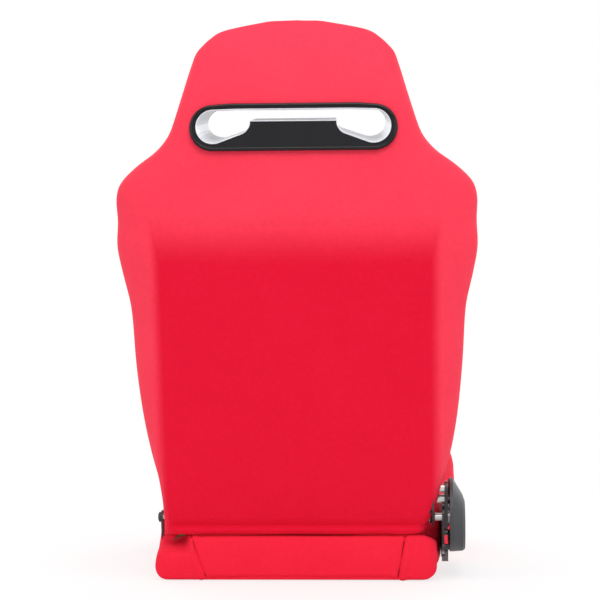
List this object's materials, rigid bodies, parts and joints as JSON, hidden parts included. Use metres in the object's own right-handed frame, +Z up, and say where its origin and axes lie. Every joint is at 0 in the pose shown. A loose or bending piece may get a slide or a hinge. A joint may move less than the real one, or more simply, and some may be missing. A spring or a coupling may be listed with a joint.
{
  "type": "racing seat",
  "caption": "Reclining bucket seat with cloth side bolsters, a fixed head section with a harness opening, and a toothed lever recliner on one side.",
  "frame": {"origin": "centre of the four mounting holes on the underside", "axes": "+Z up, the occupant faces -Y, +X is the occupant's left"},
  "size_m": [0.5592, 0.6566, 0.868],
  "materials": {
    "red_cloth": "knitted polyester cloth",
    "foam": "moulded open-cell foam",
    "frame_paint": "satin black paint",
    "zinc_steel": "zinc plated",
    "spring_steel": "oiled",
    "black_gloss": "gloss moulding",
    "black_plastic": "fine grained moulding",
    "grey_plastic": "fine grained moulding",
    "silver_plastic": "silver painted moulding",
    "board": "pressed fibreboard",
    "strap": "woven elastic",
    "zip_tape": "woven tape",
    "zip_metal": "dark finish"
  },
  "bodies": {
    "seat_base": {"mount_rails": "frame_paint", "weld_nuts": "zinc_steel", "base_frame": "frame_paint", "cross_tubes": "frame_paint", "base_springs": "spring_steel", "base_foam": "foam", "base_cover": "red_cloth", "recliner_base_plate": "frame_paint", "base_plate_spacers": "zinc_steel", "base_plate_bolts": "zinc_steel", "recliner_pivot_bolt": "zinc_steel", "pawl_pin": "zinc_steel", "lever_pin": "zinc_steel", "recliner_shroud": "black_plastic", "shroud_screws": "zinc_steel", "plate_foot_cap": "grey_plastic", "left_hinge_plate": "frame_paint", "left_pivot_bolt": "zinc_steel", "left_pivot_cap": "black_plastic", "clock_spring": "spring_steel", "lever_spring": "spring_steel"},
    "backrest": {"backrest_frame": "frame_paint", "head_frame": "frame_paint", "back_straps": "strap", "back_board": "board", "backrest_foam": "foam", "backrest_cover": "red_cloth", "recliner_sector_plate": "frame_paint", "sector_spacers": "zinc_steel", "sector_bolts": "zinc_steel", "pivot_bushes": "black_plastic", "harness_bezel_rear": "black_gloss", "harness_bezel_front": "black_gloss", "harness_tunnel": "silver_plastic", "bezel_screws": "zinc_steel", "hem_zip": "zip_tape"},
    "lever": {"release_lever": "frame_paint", "lever_grip": "black_plastic"},
    "pawl": {"locking_pawl": "zinc_steel"},
    "slider": {"zip_slider": "zip_metal"},
    "pull": {"zip_pull": "zip_metal"}
  },
  "joints": [
    {"name": "backrest_recline", "type": "hinge", "parent": "seat_base", "child": "backrest", "pos_m": [0, 0.235, 0.095], "axis": [1, 0, 0], "range_deg": [-60, 30], "deforming": ["clock_spring"]},
    {"name": "lever_lift", "type": "hinge", "parent": "seat_base", "child": "lever", "pos_m": [-0.236, 0.15391, 0.08028], "axis": [-1, 0, 0], "range_deg": [0, 28], "stiffness_Nm_per_rad": 0.6, "springref_deg": -20.05, "deforming": ["lever_spring"]},
    {"name": "pawl_release", "type": "hinge", "parent": "seat_base", "child": "pawl", "pos_m": [-0.229, 0.18003, 0.08979], "axis": [1, 0, 0], "range_deg": [0, 14]},
    {"name": "zip_slide", "type": "slide", "parent": "backrest", "child": "slider", "axis": [-1, 0, 0], "range_m": [0, 0.35]},
    {"name": "zip_pull_swing", "type": "hinge", "parent": "slider", "child": "pull", "pos_m": [0.1927, 0.257, 0.066], "axis": [0, 1, 0], "range_deg": [-30, 15]}
  ],
  "couplings": [
    {"joint": "pawl_release", "follows": "lever_lift", "ratio": 0.4653}
  ]
}
